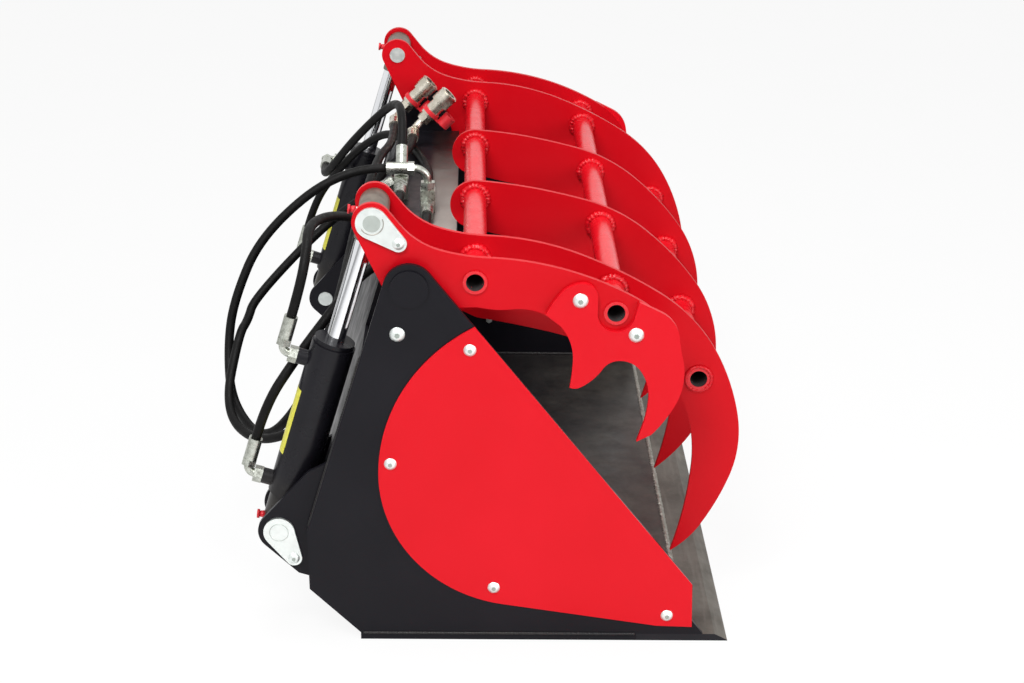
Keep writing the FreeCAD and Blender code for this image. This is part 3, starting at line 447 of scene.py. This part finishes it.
def spline_points(control):
    """Close points along the smooth line that the route's points control."""
    curve = bpy.data.curves.new("route", "CURVE")
    curve.dimensions = "3D"
    spline = curve.splines.new("NURBS")
    spline.points.add(len(control) - 1)
    for slot_point, point in zip(spline.points, control):
        slot_point.co = (*point, 1)
    spline.order_u = 3
    spline.use_endpoint_u = True
    spline.resolution_u = 16
    holder = bpy.data.objects.new("route", curve)
    mesh = bpy.data.meshes.new_from_object(holder)
    points = [vertex.co.copy() for vertex in mesh.vertices]
    bpy.data.objects.remove(holder)
    bpy.data.curves.remove(curve)
    bpy.data.meshes.remove(mesh)
    return points


def hose(name, first, last, lead, route, body="root"):
    start, out = first
    end, back = last
    control = [start, start + out * lead, *[at(*point) for point in route], end + back * lead, end]
    points = spline_points(control)
    vertices, faces = sweep(points, [HOSE_RADIUS] * len(points), 20)
    tube = piece(name, vertices, faces, rubber, None if body != "root" else "root")
    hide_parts(name.removesuffix("_tube"))
    if body != "root":
        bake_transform(tube)


tee_a_right = (at(-0.1362, -0.075, 0.575), RIGHT)
tee_a_left = (at(0.0162, -0.075, 0.575), LEFT)
tee_a_top = (at(-0.060, -0.1482, 0.638), REARWARD)
tee_b_right = (at(-0.0612, -0.125, 0.588), RIGHT)
tee_b_left = (at(0.0649, -0.125, 0.6407), Vector((1, 0, 1)).normalized())
tee_b_rear = (at(0.015, -0.1915, 0.5585), Vector((0, 0.867, -0.498)).normalized())
coupler_a = (at(0.2768, -0.1119, 0.5951), RIGHT)
coupler_b = (at(0.3468, -0.1499, 0.6001), RIGHT)


def port(side, reach, height):
    return at(side * CYLINDER_X, reach, height), UPWARD


def make_hoses():
    hose("supply_hose_a_tube", tee_a_top, coupler_a, 0.080, (
        (-0.085, -0.369, 0.523), (-0.123, -0.419, 0.409), (-0.144, -0.430, 0.329), (-0.213, -0.419, 0.250),
        (-0.316, -0.354, 0.220), (-0.379, -0.285, 0.312), (-0.335, -0.240, 0.415), (-0.220, -0.220, 0.470),
        (-0.080, -0.212, 0.496), (0.050, -0.204, 0.518), (0.125, -0.168, 0.572)))
    hose("supply_hose_b_tube", tee_b_rear, coupler_b, 0.062, (
        (-0.074, -0.388, 0.395), (-0.108, -0.397, 0.365), (-0.150, -0.408, 0.357), (-0.266, -0.426, 0.255),
        (-0.371, -0.356, 0.240), (-0.416, -0.256, 0.305), (-0.320, -0.215, 0.480), (-0.190, -0.195, 0.545),
        (-0.050, -0.183, 0.600), (0.090, -0.168, 0.615), (0.200, -0.152, 0.604)))
    hose("cylinder_hose_lower_right_tube", port(-1, -0.3402, 0.3276), tee_a_right, 0.062, (
        (-0.504, -0.278, 0.452), (-0.452, -0.230, 0.505), (-0.436, -0.165, 0.588),
        (-0.350, -0.102, 0.576), (-0.260, -0.080, 0.570)), "barrel_right")
    hose("cylinder_hose_upper_right_tube", port(-1, -0.2784, 0.5377), tee_b_right, 0.053, (
        (-0.503, -0.254, 0.638), (-0.448, -0.256, 0.660), (-0.356, -0.231, 0.648),
        (-0.280, -0.182, 0.618), (-0.200, -0.145, 0.602)), "barrel_right")
    hose("cylinder_hose_lower_left_tube", port(1, -0.3402, 0.3276), tee_a_left, 0.062, (
        (0.500, -0.278, 0.455), (0.450, -0.225, 0.525), (0.385, -0.160, 0.582),
        (0.280, -0.105, 0.572), (0.170, -0.080, 0.570)), "barrel_left")
    hose("cylinder_hose_upper_left_tube", (at(0.4668, -0.2957, 0.4790), RIGHT), tee_b_left, 0.060, (
        (0.340, -0.275, 0.515), (0.290, -0.225, 0.590), (0.232, -0.159, 0.669), (0.169, -0.134, 0.696)),
        "barrel_left")


# Welds
ARM_FACES = ((0.472, 0.480), (0.576, 0.584))
TINE_FACES = ((0.155, 0.163),)
WELD_RING = 0.0205
TUBES = (
    ("rear", (0.101, 0.007), ARM_FACES + TINE_FACES),
    ("middle", (0.319, -0.041), ARM_FACES + TINE_FACES),
    ("front", (0.465, -0.194), ARM_FACES[:1] + TINE_FACES),
)


def tube_welds():
    """Collars where the tubes meet the plates: small on the two open ends of the front tube."""
    for name, (reach, rise), plates in TUBES:
        rings = []
        for low, high in plates:
            for face in (low - 0.002, high + 0.002):
                for _, side in SIDES:
                    if face < 0.585:
                        centre = at(side * face, PIVOT[0] + reach, PIVOT[1] + rise)
                        outside = name == "front" and face > 0.481
                        rings.append(weld_ring(centre, WELD_RING, 0.0028 if outside else 0.0060))
        joined(f"tube_welds_{name}", rings, red_weld, "grab")


def plate_welds():
    """Beads in the corners of the shell, and along its joint with the cutting edge."""
    weld_line("floor_edge_weld", [at(-0.590, 0.3575, 0.0125), at(0.590, 0.3575, 0.0125)], 0.0058, weld_steel,
              "root")
    beads = (
        ("floor_weld", 0.5905, (0.355, 0.0185), (-0.150, 0.0185), 0.0036),
        ("strip_weld", 0.6003, (-0.168, 0.0122), (0.276, 0.0122), 0.0022),
        ("back_weld", 0.5912, (-0.2535, 0.203), (-0.167, 0.495), 0.0030),
    )
    for name, side in SIDES:
        for bead, x, start, end, size in beads:
            weld_line(f"{bead}_{name}", [at(side * x, *start), at(side * x, *end)], size, black_weld,
                      "root")


# Small things on the steel
SIDE_FACE, COVER_FACE, CLAW_FACE, KEEPER_FACE = 0.600, 0.603, 0.592, 0.589
COVER_HEAD, HEAVY_HEAD, KEEPER_HEAD = 0.0056, 0.00672, 0.00532
COVER_SOCKET, HEAVY_SOCKET, KEEPER_SOCKET = 0.0064, 0.0074, 0.0058
COVER_BOLTS = ((0.002, 0.513), (-0.122, 0.318), (0.044, 0.098), (0.327, 0.048))
LABEL_START, LABEL_TURN, LABEL_STEPS = 54, 74, 16


def drum(start, end, radius, sides=24, end_radius=None):
    return sweep([start, end], [radius, end_radius or radius], sides)


def ring(centre, radius, size, first=0.0, last=360.0, steps=40):
    """A thin round bead on a face that looks along X, whole or from one angle to another."""
    closed = last - first >= 360
    points = []
    for step in range(steps if closed else steps + 1):
        angle = math.radians(first + (last - first) * step / steps)
        points.append(centre + Vector((0, -radius * math.cos(angle), radius * math.sin(angle))))
    return sweep(points, [size] * len(points), 6, closed)


def barrel_label(name, side, low, high):
    """A bare label wrapped round the back of a barrel."""
    foot = at(side * CYLINDER_X, *LOWER_PIN)
    rear = (REARWARD - UPWARD * REARWARD.dot(UPWARD)).normalized()
    vertices, faces = [], []
    for step in range(LABEL_STEPS + 1):
        angle = math.radians(LABEL_START + LABEL_TURN * step / LABEL_STEPS)
        out = RIGHT * math.cos(angle) + rear * math.sin(angle)
        for radius, along in ((0.0353, low), (0.0353, high), (0.0348, high), (0.0348, low)):
            vertices.append(foot + UPWARD * along + out * radius)
        if step:
            last = step * 4
            faces += [(last - 4 + k, last - 4 + (k + 1) % 4, last + (k + 1) % 4, last + k) for k in range(4)]
    faces += [(3, 2, 1, 0), tuple(LABEL_STEPS * 4 + k for k in range(4))]
    piece(f"barrel_label_{name}", vertices, faces, label_yellow, f"barrel_{name}",
          smooth=False)


def grease_nipple(name, centre, radius, body):
    """A nipple behind an eye, with its red cap."""
    way = Vector((0, 1, 0.09)).normalized()
    stem = drum(centre + way * (radius - 0.001), centre + way * (radius + 0.010), 0.0035)
    hexagon = drum(centre + way * (radius - 0.001), centre + way * (radius + 0.004), 0.0052, 6)
    joined(f"{name}_nipple", [stem, hexagon], zinc, body)
    cap = drum(centre + way * (radius + 0.003), centre + way * (radius + 0.012), 0.0062, 20, 0.0050)
    rim = drum(centre + way * (radius + 0.012), centre + way * (radius + 0.016), 0.0074, 20)
    joined(f"{name}_nipple_cap", [cap, rim], cap_red, body)


def sockets(name, head, places, across, body):
    """Grey hexagons on the tops of round bolt heads: thin flat discs whose darker grey is painted shade for the
    sockets' recesses.
    """
    shapes = []
    for reach, height in places:
        for _, side in SIDES:
            top = at(side * (head - 0.00001), reach, height)
            shapes.append(drum(top - LEFT * side * 0.0004, top, across / 2 / math.cos(math.radians(30)), 6))
    joined(f"{name}_sockets", shapes, socket_painted_shade, body)


def from_pivot(reach, rise):
    return PIVOT[0] + reach, PIVOT[1] + rise


def tube_shade_liners():
    """Near-black sleeves inside both ends of each tube: painted shade for the tubes' insides."""
    outer, inner, depth, steps = 0.01395, 0.0137, 0.15, 28
    for name, (reach, rise), _ in TUBES:
        end = 0.4825 if name == "front" else 0.5865
        shapes = []
        for _, side in SIDES:
            centre = at(0, PIVOT[0] + reach, PIVOT[1] + rise)
            vertices, faces = [], []
            for step in range(steps):
                angle = 2 * math.pi * step / steps
                way = Vector((0, math.cos(angle), math.sin(angle)))
                for radius, x in ((outer, end), (inner, end), (inner, end - depth), (outer, end - depth)):
                    vertices.append(centre + way * radius + LEFT * side * x)
                here, after = step * 4, (step + 1) % steps * 4
                faces += [(here + k, here + (k + 1) % 4, after + (k + 1) % 4, after + k) for k in range(4)]
            shapes.append((vertices, faces))
        joined(f"tube_shade_liners_{name}", shapes, bore_painted_shade, "grab")


def make_details():
    tube_shade_liners()
    barrel_label("right", -1, 0.117, 0.232)
    barrel_label("left", 1, 0.091, 0.208)
    for name, side in SIDES:
        grease_nipple(f"rod_eye_{name}", at(side * CYLINDER_X, *UPPER_PIN), 0.024, f"rod_{name}")
    grease_nipple("barrel_eye_right", at(-CYLINDER_X, *LOWER_PIN), 0.025, "barrel_right")
    sockets("cover_bolt", COVER_FACE + COVER_HEAD, COVER_BOLTS, COVER_SOCKET, "root")
    sockets("side_bolt", SIDE_FACE + HEAVY_HEAD, ((-0.110, 0.537),), HEAVY_SOCKET, "root")
    claw_bolts = (from_pivot(0.263, -0.019), from_pivot(0.351, -0.075))
    sockets("claw_bolt", CLAW_FACE + HEAVY_HEAD, claw_bolts, HEAVY_SOCKET, "grab")
    sockets("lower_keeper_bolt", KEEPER_FACE + KEEPER_HEAD, ((-0.279, 0.142),), KEEPER_SOCKET, "root")
    sockets("upper_keeper_bolt", KEEPER_FACE + KEEPER_HEAD, (from_pivot(-0.016, 0.069),), KEEPER_SOCKET, "grab")
    lower = [ring(at(side * KEEPER_FACE, *LOWER_PIN), 0.0150, 0.0006) for _, side in SIDES]
    joined("lower_pin_rings", lower, pin_face, "root")
    upper, beads = [], []
    for _, side in SIDES:
        centre = at(side * KEEPER_FACE, *UPPER_PIN)
        upper.append(drum(centre - LEFT * side * 0.0002, centre + LEFT * side * 0.0006, 0.0135, 32))
        beads.append(ring(centre, 0.0178, 0.0009, -150, 25))
    joined("upper_pin_faces", upper, pin_face, "grab")
    joined("upper_pin_welds", beads, weld_steel, "grab")


# Studio
WORLD_FILL = 0.31
FLOOR_GLOW = 0.9
AIM = Vector((0, 0.25, 0.35))
LAMPS = (
    ("key", (-2.6, 1.2, 3.2), 1.6, 108),
    ("fill", (-2.2, -2.6, 1.6), 1.8, 52),
    ("top", (-0.2, 0.6, 3.4), 1.2, 46),
)


def make_studio():
    world = bpy.data.worlds.new("studio")
    world.use_nodes = True
    scene.world = world
    tree = world.node_tree
    backdrop = tree.nodes["Background"]
    backdrop.inputs["Color"].default_value = (1, 1, 1, 1)
    rays = tree.nodes.new("ShaderNodeLightPath")
    seen = tree.nodes.new("ShaderNodeMath")
    seen.operation = "MAXIMUM"
    tree.links.new(rays.outputs["Is Camera Ray"], seen.inputs[0])
    tree.links.new(rays.outputs["Is Glossy Ray"], seen.inputs[1])
    strength = tree.nodes.new("ShaderNodeMapRange")
    strength.inputs["To Min"].default_value = WORLD_FILL
    strength.inputs["To Max"].default_value = 1.0
    tree.links.new(seen.outputs[0], strength.inputs["Value"])
    tree.links.new(strength.outputs["Result"], backdrop.inputs["Strength"])
    for name, place, size, power in LAMPS:
        light = bpy.data.lights.new(name, "AREA")
        light.energy = power
        light.size = size
        lamp = bpy.data.objects.new(name, light)
        lamp.location = place
        lamp.rotation_euler = (AIM - Vector(place)).to_track_quat("-Z", "Y").to_euler()
        scene.collection.objects.link(lamp)


def make_floor():
    half, level = 6, -0.0005
    corners = [(-half, -half, level), (half, -half, level), (half, half, level), (-half, half, level)]
    mesh = bpy.data.meshes.new("floor")
    mesh.from_pydata(corners, [], [(0, 1, 2, 3)])
    floor = bpy.data.objects.new("floor", mesh)
    scene.collection.objects.link(floor)
    look = Nodes("pale_floor")
    grain = look.spread(look.noise(3, 3), 0, 1)
    look.set(Base_Color=look.blend(grain, (0.88, 0.88, 0.88), (0.92, 0.92, 0.92)), Roughness=0.9)
    glow = look.tree.nodes.new("ShaderNodeEmission")
    rays = look.tree.nodes.new("ShaderNodeLightPath")
    share = look.tree.nodes.new("ShaderNodeMapRange")
    share.inputs["To Max"].default_value = FLOOR_GLOW
    mix = look.tree.nodes.new("ShaderNodeMixShader")
    look.join(rays.outputs["Is Camera Ray"], share.inputs["Value"])
    look.join(share.outputs["Result"], mix.inputs["Fac"])
    look.join(look.shader.outputs["BSDF"], mix.inputs[1])
    look.join(glow.outputs["Emission"], mix.inputs[2])
    look.join(mix.outputs["Shader"], look.tree.nodes["Material Output"].inputs["Surface"])
    mesh.materials.append(look.material)


make_camera()
dress_nodes()
make_hoses()
tube_welds()
plate_welds()
make_details()
make_studio()
make_floor()
scene.view_settings.view_transform = "Standard"
